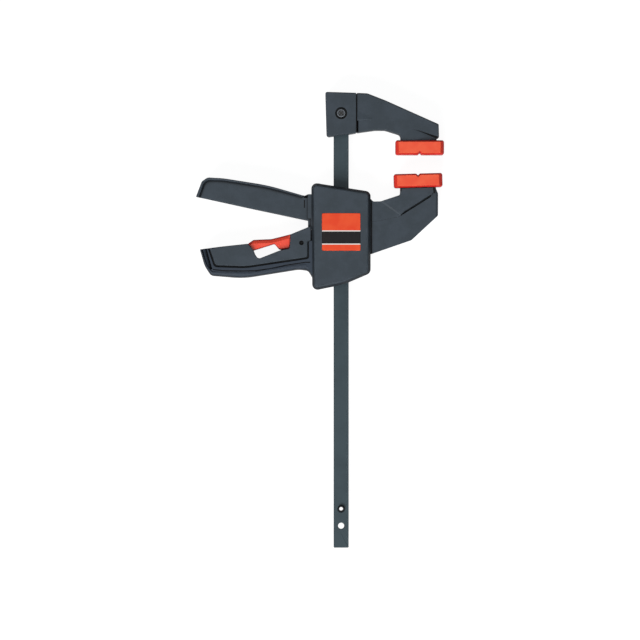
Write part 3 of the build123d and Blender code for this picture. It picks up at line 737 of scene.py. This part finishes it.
springs = springTree()
springSizes = {"wireRadius": 0.5, "turns": 6.5}


def spring(node, name, size):
    # between the ends of its place, round the bar
    low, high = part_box(node)
    length = (high.y - low.y) * 1000
    coil = (high.x - low.x) * 500 - size["wireRadius"]
    middle = (low + high) / 2 - origin
    start = (middle.x * 1000, (low.y - origin.y) * 1000 + size["wireRadius"], middle.z * 1000)
    made = grown(name, springs, [start], "spring_steel", {
        "Coil radius": coil, "Wire radius": size["wireRadius"], "Length": length - 2 * size["wireRadius"],
        "Turns": size["turns"]})
    dress(made, "sliding_jaw", "spring_steel", node)
    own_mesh(made)


spring("drive_spring", "driveSpring", springSizes)
spring("brake_spring", "brakeSpring", springSizes)


print("fixed jaw")
pastFace = 1  # how far a cutter reaches past a face
fixedJawSizes = {
    "armHalf": 9.5, "boxHalf": 10.5, "armRound": 0.9, "boxRound": 0.6, "bridgeRound": 0.3, "cutOver": 4,
    "grooveHalf": 7.9, "grooveLeft": 9.35, "grooveRight": 10.05, "grooveExtra": 0.85,
    "stepLine": 22.1, "stepFrom": 0.15, "stepTo": 14.0, "stepTop": (6.0, 2.0), "stepFoot": (-0.6, -0.3),
    "step": [(0, 9.1), (0, 9.47), (0.88, 10.1), (1, 9.42), (1, 9.1)], "stepFade": 0.9,
    "footStart": 44.0, "footRun": 18, "footDeep": 1.9, "wedgeDeep": 3.4,
    "wellRadius": 3.85, "wellDeep": 2.6, "wellOver": 2, "nutFlats": 5.62, "nutDeep": 2.4,
}


def fixedJaw(size):
    groove = size["grooveRight"]
    arm = [
        (groove, 38.95, 0.2), (16.5, 38.7, 6), (27.8, 34.3, 40), (61.4, 19.3, 1.0), (61.6, 10.7, 1.4),
        (60.1, 10.2, 0.3), (60.1, 4.3, 0.2), (37.35, 4.3, 0.2), (37.35, 12.4, 2.4), (27.5, 15.4, 6),
        (21.0, 15.4, 8), (groove, 13.9, 0.2),
    ]
    half = size["armHalf"]
    armWeights = [1] * 11 + [0.2]  # nearly square along the groove
    armPart = layered("jawArm", arm, roundOver(size["armRound"], half), armWeights, 8)
    start, deep, above = size["footStart"], size["footDeep"], half + size["cutOver"]

    def footFloor(x, y):
        # level with the arm at the inner side, sunk at the outer side
        return half + 0.02 - deep * (x - start) / size["footRun"]

    foot = [(start, 16.95), (63.0, 10.2), (63.0, 2.0), (start, 2.0)]
    engrave(armPart, foot, footFloor, above)

    # the groove is wider below a shallow step that fades out along the arm
    line, wide = size["stepLine"], groove + size["grooveExtra"]
    slot = [(groove - 1, line), (wide, line), (wide, 10), (groove - 1, 10)]
    engrave(armPart, slot, size["grooveHalf"], above)
    ends = (groove + size["stepFrom"], groove + size["stepTo"])
    stepTop, stepFoot = [[(x, line + rise, 0) for x, rise in zip(ends, size[name])]
                         for name in ("stepTop", "stepFoot")]
    steps = ridges(stepTop, stepFoot, size["step"], size["stepFade"])
    wedge = [(47.2, 15.85), (61.9, 11.15), (61.9, 9.6), (60.1, 10.15)]
    engrave(armPart, wedge, half - size["wedgeDeep"], above)

    left = size["grooveLeft"]
    box = [(-10, 39.6, 1.2), (left, 39.0, 0.2), (left, 13.75, 0.2), (4.75, 13.0, 1), (-9.2, 11.2, 1.6)]
    half = size["boxHalf"]
    boxPart = layered("jawBox", box, roundOver(size["boxRound"], half), [1, 0.25, 1, 1, 1], 8)
    bridge = [(7.0, 38.6, 0.3), (14.0, 38.4, 0.3), (14.0, 14.6, 0.3), (7.0, 13.8, 0.3)]
    bridgePart = layered("jawBridge", bridge, roundOver(size["bridgeRound"], size["grooveHalf"]))
    x, y = jawScrewPlace
    above = half + size["wellOver"]
    well = disc(x, y, size["wellRadius"], half - size["wellDeep"], above, 64)
    radius = size["nutFlats"] / 2 / math.cos(math.pi / 6)
    turns = [math.pi * (2 * k + 1) / 6 for k in range(6)]
    nut = [(x + radius * math.cos(turn), y + radius * math.sin(turn)) for turn in turns]
    carve(boxPart, [well, prism(nut, -above, size["nutDeep"] - half)])
    return shaded(joined("fixedJaw", [armPart, boxPart, bridgePart] + steps))


dress(fixedJaw(fixedJawSizes), "bar_and_fixed_jaw", "charcoal_plastic", "fixed_jaw")


print("pads")
padSizes = {
    "left": 34.15, "right": 64.75, "height": 9.2, "notchHalf": 1.2, "notchDeep": 1.1, "corner": 1.4,
    "profile": [(2.4, 11.0), (2.2, 10.97), (2.0, 10.86), (0.5, 9.4), (0.2, 8.95), (0.03, 8.4), (0, 7.9)],
    "endWeight": 1.0, "faceWeight": 0.45, "backWeight": 0.45,
}
# against the fixed pad: millimetres across and below, degrees of lean, and a share of its height
movingPadSizes = {"across": -1.1, "below": 11.75, "lean": 1.5, "height": 0.95}


def padPiece(name, size, place):
    # a cap with broad sloping ends and a notch across its working face
    middle, r = (size["left"] + size["right"]) / 2, size["corner"]
    corners = [
        (size["left"], 0, r), (middle - size["notchHalf"], 0, 0), (middle, size["notchDeep"], 0),
        (middle + size["notchHalf"], 0, 0), (size["right"], 0, r), (size["right"], size["height"], r),
        (size["left"], size["height"], r),
    ]
    face, end, back = size["faceWeight"], size["endWeight"], size["backWeight"]
    made = layered(name, corners, mirrored(size["profile"]), [face] * 4 + [end, back, end], steps=8)
    made.data.transform(place)
    if place.determinant() < 0:
        made.data.flip_normals()
    return shaded(made)


def facingPad(size):
    # the fixed pad's shape turned to face it, a little lower and leaning
    toClamp = Matrix.Translation(origin)
    middle = (padSizes["left"] + padSizes["right"]) / 2000
    there = Matrix.Translation((middle + size["across"] / 1000, -size["below"] / 1000, 0))
    lean = Matrix.Rotation(math.radians(size["lean"]), 4, "Z")
    turned = Matrix.Diagonal((1, -size["height"], 1, 1)) @ Matrix.Translation((-middle, 0, 0))
    return toClamp @ there @ lean @ turned @ toClamp.inverted()


fixedPad = padPiece("fixedPad", padSizes, Matrix.Identity(4))
dress(fixedPad, "bar_and_fixed_jaw", "pad_red", "fixed_pad")
movingPad = padPiece("movingPad", padSizes, facingPad(movingPadSizes))
dress(movingPad, "sliding_jaw", "pad_red", "moving_pad")


print("sliding jaw")
clear, through = 20, -1  # levels beyond every face, and past the middle plane, for cutters
releasePinPlace = (-25.0, -55.4)
armSizes = {
    "face": 9.53, "outer": 60.95, "round": 0.8, "grow": 0.03, "seam": 0.12, "seamHigh": 0.15,
    "bandReach": 2.7, "bandDepth": 2.0, "leftLevel": 8.75, "lowerLevel": 8.6, "slope": 1.1,
    "creaseDeep": 1.0, "creaseSlope": 0.55, "notchLevel": 6.6, "stripLevel": 7.2, "gapLevel": 6.2,
}
armCorners = [
    (15.6, -27.1, 0), (18.8, -27.9, 0), (20.1, -29.4, 1.6), (24.75, -29.3, 4), (37.15, -25.25, 1.6),
    (37.35, -17.0, 0), (59.65, -17.0, 0), (59.65, -21.25, 0), (armSizes["outer"], -24.35, 1.4),
    (armSizes["outer"], -38.2, 1.4), (44.35, -53.6, 4), (15.6, -63.5, 0),
]
panelSizes = {"top": 10.43, "under": 8.6, "overlap": 0.1, "round": 0.55, "grow": 0.02, "pinRadius": 1.5}
panelCorners = [
    (-19.0, -44.83, 0), (-20.9, -45.6, 1.5), (-31.9, -50.1, 0.3), (-32.5, -58.9, 1.4), (-38.6, -60.2, 4),
    (-52.3, -65.6, 2.2), (-54.3, -62.6, 2), (-55.4, -59.7, 1.5), (-58.6, -56.0, 0.6), (-73.9, -57.6, 60),
    (-82.9, -58.75, 0.2), (-79.1, -69.65, 2.6), (-60.0, -70.25, 40), (-21.15, -64.45, 1.4),
    (-21.15, -54.7, 0.8), (-19.0, -54.1, 0),
]


def jawShell(node, name, side, size, panel):
    def over(points, level, edge=(), slope=size["slope"]):
        # a cutter over one face of the shell, whose sides named in edge slope
        if not edge:
            low, high = (level, clear) if side > 0 else (-clear, flipped(level))
            return prism(points, low, high)
        weights = [1 if k in edge else 0 for k in range(len(points))]
        levels = [(slope, side * level), (0, side * size["face"]), (0, side * clear)]
        return layered("cutter", [(x, y, 0) for x, y in points], levels, weights, 1)

    # inner walls, bays and bosses as they are, with the arm and the handle's panel taken down for their skins
    core = merged(node, name + "Core")
    armSeat = [(18.62, -10), (70, -10), (70, -70), (18.62, -70)]
    panelSeat = [(-95, -40), (-19.05, -40), (-19.05, -90), (-95, -90)]
    bayEdge = [(-57.5, -58.0), (-55.4, -59.7), (-54.4, -62.6), (-52.3, -65.4), (-50.0, -62.0)]
    panelLevel = panel["under"] + panel["overlap"]
    carve(core, [over(armSeat, through), over(panelSeat, panelLevel), over(bayEdge, through)])

    # arm: a foot block that stands proud of a lower web, and a broad slope along the outer side
    levels = [(size["seam"], 0), (-size["grow"], size["seamHigh"])]
    levels += roundTop(size["round"], size["face"], size["grow"])
    arm = layered(name + "Arm", armCorners, [(inset, side * height) for inset, height in levels], steps=8)
    leftOfBlock = [(14, -20.0), (19.0, -24.0), (22.1, -26.1), (37.9, -37.5), (38.4, -39.6), (31.0, -41.2),
                   (24.5, -42.6), (14, -43.8)]
    belowBlock = [(14, -42.6), (24.5, -41.4), (31.0, -40.0), (37.0, -38.6), (56.4, -25.4), (58.7, -22.6),
                  (70, -22.6), (70, -75), (14, -75)]
    creaseLine = [(36.4, -38.8), (40.1, -37.15), (56.3, -26.95), (57.2, -25.8), (56.2, -25.1), (39.5, -35.45)]
    footNotch = [(57.1, -18), (59.4, -18), (59.4, -24.2), (58.3, -24.4)]
    padLine = [(30, -18), (62, -17.2), (62, -20.6), (30, -21.4)]
    coverGap = [(17.5, -26), (19.5, -26), (19.5, -66), (17.5, -66)]
    inner = size["outer"] - size["bandReach"]
    armBand = [(inner, -10), (66, -10), (66, -60), (inner, -60)]

    def band(x, y):
        return size["face"] + 0.02 - (x - inner) * size["bandDepth"] / size["bandReach"]

    creaseLevel = size["lowerLevel"] - size["creaseDeep"]
    carve(arm, [
        over(leftOfBlock, size["leftLevel"], (0, 1, 2)), over(belowBlock, size["lowerLevel"]),
        over(creaseLine, creaseLevel, range(6), size["creaseSlope"]), over(footNotch, size["notchLevel"]),
        over(padLine, size["stripLevel"]), over(coverGap, size["gapLevel"]), over(armBand, band),
    ])

    # handle panel with rounded edges
    levels = [(0.0, panel["under"])] + roundTop(panel["round"], panel["top"])
    levels = [(inset - panel["grow"], side * height) for inset, height in levels]
    skin = layered(name + "Panel", panelCorners, levels, steps=8)
    if side < 0:
        for x, y, seat, _ in housingScrewPlaces[4:]:
            carve(arm if x > 0 else skin, [disc(x, y, housingWellRadius, -clear, seat)])
    carve(skin, [disc(*releasePinPlace, panel["pinRadius"], -clear, clear, 32)])
    return shaded(joined(name, [core, arm, skin]))


for node, name, side in (("front_shell", "frontShell", 1), ("rear_shell", "rearShell", -1)):
    dress(jawShell(node, name, side, armSizes, panelSizes), "sliding_jaw", "charcoal_plastic", node)


print("covers")
coverSizes = {
    "top": 13.0, "labelX": 12.1, "labelY": 11.8, "labelCorner": 0.8, "labelDeep": 0.8, "labelRound": 0.2,
    "labelFit": 0.08,
    "shoulder": [(0, 10.0), (0, 10.2), (0.55, 11.1), (1.0, 11.85), (1.35, 12.4), (1.6, 12.7), (1.95, 12.9),
                 (2.5, 13.0)],
}
coverCorners = [
    (-18.8, -17.4, 3.4), (18.5, -23.2, 3.4), (18.5, -74.4, 3.4), (1.5, -81.6, 40), (-18.2, -85.6, 3.4),
]


def labelCorners(size, clearance=0.0):
    x, y, r = size["labelX"] + clearance, size["labelY"] + clearance, size["labelCorner"]
    low, high = labelMiddle - y, labelMiddle + y
    return [(-x, low, r), (x, low, r), (x, high, r), (-x, high, r)]


def labelPlate(size):
    top = size["top"]
    levels = [(0, top - size["labelDeep"])] + roundTop(size["labelRound"], top)
    return shaded(layered("labelPlate", labelCorners(size), levels))


def coverPiece(name, size, side):
    levels = [(inset, side * height) for inset, height in size["shoulder"]]
    made = layered(name, coverCorners, levels, steps=10)
    top = size["top"]
    if side > 0:
        bed = rounded(labelCorners(size, size["labelFit"]))
        carve(made, [prism(bed, top - size["labelDeep"], top + pastFace)])
    else:
        carve(made, [disc(x, y, housingWellRadius, -top - pastFace, seat)
                     for x, y, seat, _ in housingScrewPlaces[:4]])
    return shaded(made)


dress(coverPiece("frontCover", coverSizes, 1), "sliding_jaw", "charcoal_plastic", "front_cover")
dress(coverPiece("rearCover", coverSizes, -1), "sliding_jaw", "charcoal_plastic", "rear_cover")
dress(labelPlate(coverSizes), "sliding_jaw", "label_red", "label_plate")

print("palm grip")
gripSizes = {
    "half": 10.6, "grooveDeep": 1.3, "grooveWidth": 0.7, "tongueHalf": 7.0,
    "scoopDeep": 1.8, "scoopRise": 1.8, "lipX": -88.0, "lipY": -58.6, "lipLean": 0.30,
    "round": [(2.9, 10.6), (2.0, 10.35), (1.2, 9.75), (0.55, 8.9), (0.15, 8.0), (0, 7.2)],
    "roll": [(0, 7.0), (0.01, 8.2), (0.07, 9.3), (0.18, 10.05), (0.33, 10.55), (0.5, 10.82), (0.68, 10.9),
             (0.85, 10.82), (0.95, 10.5), (1, 9.9), (0.98, 7.0)],
}
gripCorners = [
    (-89.0, -59.5, 0.8), (-86.0, -70.0, 14), (-82.0, -76.1, 3.5), (-61.5, -77.8, 60), (-26.6, -72.2, 16),
    (-20.8, -73.0, 3), (-18.4, -77.0, 2), (-17.6, -80.5, 0), (-17.6, -54.0, 0), (-20.6, -54.6, 0.8),
    (-20.5, -65.2, 1.4), (-60.0, -71.05, 40), (-79.75, -70.45, 2.6), (-83.65, -58.8, 0),
]
# rounded outside, crisp at the joint line
gripWeights = [1, 1, 1, 1, 1, 0.4, 0.2, 0, 0, 0.12, 0.12, 0.12, 0.12, 0.2]
grooveLine = [(-19.4, -67.3), (-22.3, -67.3), (-34.9, -69.2), (-44.5, -71.3), (-54.1, -72.6), (-61.5, -72.8),
              (-73.9, -72.6), (-80.6, -71.9)]
scoop = [
    (gripSizes["lipX"], gripSizes["lipY"]), (-86.3, -65.5), (-84.8, -70.0), (-82.9, -72.9), (-81.0, -71.9),
    (-82.2, -68.0), (-83.4, -63.5), (-84.6, gripSizes["lipY"]),
]
# closes the joint at the free end
tongueLine = [(-85.0, -58.95), (-83.2, -58.85), (-79.4, -69.9), (-81.0, -70.6)]
rollOuter = [
    (-88.9, -59.55, 0), (-85.95, -70.0, 14), (-81.95, -76.0, 3.5), (-61.5, -77.7, 60), (-26.6, -72.1, 16),
    (-22.2, -72.3, 0),
]
rollInner = [
    (-87.9, -59.4, 0), (-84.6, -69.6, 12), (-81.3, -73.2, 2.2), (-56.5, -73.7, 60), (-36.0, -69.9, 40),
    (-22.2, -68.2, 0),
]


def palmGrip(size):
    made = layered("palmGrip", gripCorners, mirrored(size["round"]), gripWeights, steps=10)
    # a fine groove follows the joint line, half way down the border, with a soft roll outside it
    lower = [(x, y - size["grooveWidth"]) for x, y in reversed(grooveLine)]
    half = size["half"]
    engrave(made, grooveLine + lower, half - size["grooveDeep"], half + pastFace)

    def scoopFloor(x, y):
        # deepest along the joint line, rising to the lip
        lip = size["lipX"] + (size["lipY"] - y) * size["lipLean"]
        return half - size["scoopDeep"] * min(1, max(0, (x - lip) / size["scoopRise"]))

    engrave(made, scoop, scoopFloor, half + pastFace)
    rolls = ridges(rollOuter, rollInner, size["roll"])
    tongue = prism(tongueLine, -size["tongueHalf"], size["tongueHalf"])
    return shaded(joined("palmGrip", [made, tongue] + rolls))


dress(palmGrip(gripSizes), "sliding_jaw", "soft_grip", "palm_grip")


print("levers")
cutHalf = 30  # half the height of cutters that go right through
leverSizes = {
    "webHalf": 7.6, "webRound": 0.6, "rootX": -19.6, "notchDeep": 2.2,
    "lineX": -23.1, "lineTop": -28.4, "lineLow": -33.4, "lineWidth": 0.75, "lineDeep": 1.1,
    "rim": [(0, 7.0), (0, 10.0), (0.03, 10.3), (0.09, 10.47), (0.16, 10.5), (0.4, 10.5), (0.48, 10.35),
            (0.58, 9.9), (0.7, 9.1), (0.84, 8.2), (0.93, 7.0)],
}
leverTop = [
    (-91.38, -26.3, 0.6), (-87.7, -16.7, 3.2), (-84.0, -14.25, 4), (-74.0, -14.8, 60), (-46.2, -19.2, 120),
]
leverCorners = leverTop + [
    (-24.6, -25.4, 0.4), (-22.8, -25.7, 0.6), (-21.2, -24.9, 1.0), (-18.8, -24.9, 0.2), (-18.4, -33.6, 2),
    (-18.9, -38.6, 2), (-19.2, -42.4, 0.8), (-21.0, -41.4, 3), (-57.5, -33.7, 200),
]
rootNotch = [
    (-23.4, -26.1), (-21.6, -25.6), (-20.1, -24.2), (-19.3, -24.2), (-19.5, -26.1), (-21.6, -27.2),
    (-23.4, -27.1),
]
rimOuter = [(-91.36, -26.3, 0)] + leverTop[1:] + [(-24.4, -25.48, 0)]
rimInner = [
    (-88.3, -27.0, 0), (-85.3, -18.4, 2.2), (-83.2, -17.1, 2.6), (-73.6, -17.35, 58), (-46.7, -21.6, 118),
    (-24.4, -27.3, 0),
]


def pumpLever(size):
    thick = size["webHalf"]
    web = layered("leverWeb", leverCorners, roundOver(size["webRound"], thick), steps=10)
    x, half, low, high = size["lineX"], size["lineWidth"] / 2, size["lineLow"], size["lineTop"]
    line = [(x - half, low), (x + half, low), (x + half, high), (x - half, high)]
    engrave(web, line, thick - size["lineDeep"], thick + pastFace)
    engrave(web, rootNotch, thick - size["notchDeep"], thick + pastFace)
    # rim along the back and round the free end, its crest near the outside
    rims = ridges(rimOuter, rimInner, size["rim"])
    # hub and cam lobe inside the housing
    root = merged("pump_lever", "leverRoot")
    handle = [(-120, -80), (size["rootX"], -80), (size["rootX"], 10), (-120, 10)]
    carve(root, [prism(handle, -cutHalf, cutHalf)])
    return shaded(joined("pumpLever", [web, root] + rims))


dress(pumpLever(leverSizes), "lever", "charcoal_plastic", "pump_lever")


print("release lever")
releaseSizes = {
    "armFrom": -33.0, "pinHalf": 8.2, "pinRadius": 1.2, "pinChamfer": 0.25,
    "round": [(1.5, 7.8), (1.4, 7.72), (0.5, 6.95), (0.2, 6.5), (0.05, 6.0), (0, 5.4)],
}
releaseCorners = [
    (-58.7, -55.9, 0.4), (-55.2, -53.5, 1.5), (-43.8, -53.0, 10), (-31.7, -49.9, 0.3), (-31.9, -59.0, 0.6),
    (-37.4, -59.9, 1), (-39.2, -59.4, 1), (-42.0, -56.1, 1.2), (-56.0, -60.5, 0.5),
]
releaseWeights = [1, 1.7, 1.7, 0.6, 0.6, 0.5, 0.3, 0.3, 0.4]  # broad where the finger pulls


def releaseLever(size):
    # the finger piece, whose ends run under the handle's panels, and the hidden arm to the brake plate
    pull = layered("releaseFinger", releaseCorners, mirrored(size["round"]), releaseWeights, 10)
    arm = merged("release_lever", "releaseArm")
    x = size["armFrom"]
    finger = [(-70, -70), (x, -70), (x, -40), (-70, -40)]
    carve(arm, [prism(finger, -cutHalf, cutHalf)])
    return shaded(joined("releaseLever", [pull, arm]))


def releasePin(size):
    (x, y), r = releasePinPlace, size["pinRadius"]
    ring = [(x + r * right, y + r * up, r - 0.001) for right, up in ((-1, -1), (1, -1), (1, 1), (-1, 1))]
    half, chamfer = size["pinHalf"], size["pinChamfer"]
    levels = [(chamfer, -half), (0, chamfer - half), (0, half - chamfer), (chamfer, half)]
    return shaded(layered("releasePin", ring, levels, steps=8))


dress(releaseLever(releaseSizes), "release", "lever_red", "release_lever")
dress(releasePin(releaseSizes), "sliding_jaw", "pin_steel", "release_pin")


print("stage")
stageSizes = {
    "floorHalf": 6.0, "floorDrop": 0.0004, "paper": 0.22, "bounce": 0.4, "glow": 0.93,
    "whiteFrom": 0.16, "whiteTo": 0.5,
    "keyPlace": (-0.45, -1.05, 1.25), "keyPower": 32, "keySize": 1.3,
    "fillPlace": (0.0, 0.3, 1.9), "fillPower": 6, "fillSize": 1.1, "worldStrength": 0.12,
}


def floorPaper(size):
    # white to the camera, with the object's shadow near it; clear from below
    sheet = Sheet("floorPaper")
    seen = sheet.directSight()
    whole = sheet.node("Mix", {"data_type": "RGBA"}, {
        0: seen, 6: (size["bounce"],) * 3 + (1,), 7: (size["paper"],) * 3 + (1,)}, output=2)
    paper = sheet.node("BsdfDiffuse", {}, {"Color": whole})
    glow = sheet.node("Emission", {}, {"Color": (1, 1, 1, 1), "Strength": size["glow"]})
    near = sheet.node("AddShader", {}, [paper, glow])
    white = sheet.node("Emission", {}, {"Color": (1, 1, 1, 1), "Strength": 1.0})
    far = sheet.smooth(sheet.vectorMath("LENGTH", sheet.place()), size["whiteFrom"], size["whiteTo"])
    lit = sheet.node("MixShader", {}, [far, near, white])
    shown = sheet.node("MixShader", {}, [seen, paper, lit])
    glass = sheet.node("BsdfTransparent")
    behind = sheet.node("NewGeometry", output=6)
    surface = sheet.node("MixShader", {}, [behind, shown, glass])
    sheet.node("OutputMaterial", {}, {"Surface": surface})
    return sheet.material


def stage(size):
    low = startBox[0].z - size["floorDrop"]
    half = size["floorHalf"]
    mesh = bpy.data.meshes.new("floor")
    mesh.from_pydata([(-half, -half, low), (half, -half, low), (half, half, low), (-half, half, low)], [],
                     [(0, 1, 2, 3)])
    mesh.materials.append(floorPaper(size))
    placed("floor", mesh)

    for name in ("key", "fill"):
        light = bpy.data.lights.new(name, "AREA")
        light.energy, light.size, light.shape = size[name + "Power"], size[name + "Size"], "DISK"
        made = placed(name, light)
        made.location = size[name + "Place"]
        made.rotation_euler = (-Vector(size[name + "Place"])).to_track_quat("-Z", "Y").to_euler()

    world = bpy.data.worlds.new("studio")
    scene.world = world
    world.use_nodes = True
    sky = Graph(world.node_tree)
    soft = {"Color": (0.9, 0.95, 1, 1), "Strength": size["worldStrength"]}
    soft = sky.node("Background", {}, soft)
    white = sky.node("Background", {}, {"Color": (1, 1, 1, 1), "Strength": 1.0})
    shown = sky.node("MixShader", {}, [sky.directSight(), soft, white])
    sky.node("OutputWorld", {}, [shown])


# in metres: distance, width of the view, height of the level that it is measured at, and reach
cameraSizes = {"away": 4.0, "across": 0.4032, "level": 0.0175, "reach": 20}


def camera(size):
    lens = bpy.data.cameras.new("camera")
    made = placed("camera", lens)
    lens.lens = lens.sensor_width * size["away"] / size["across"]
    lens.clip_end = size["reach"]
    made.location = (0, 0, startBox[0].z + size["level"] + size["away"])
    scene.camera = made


stage(stageSizes)
camera(cameraSizes)
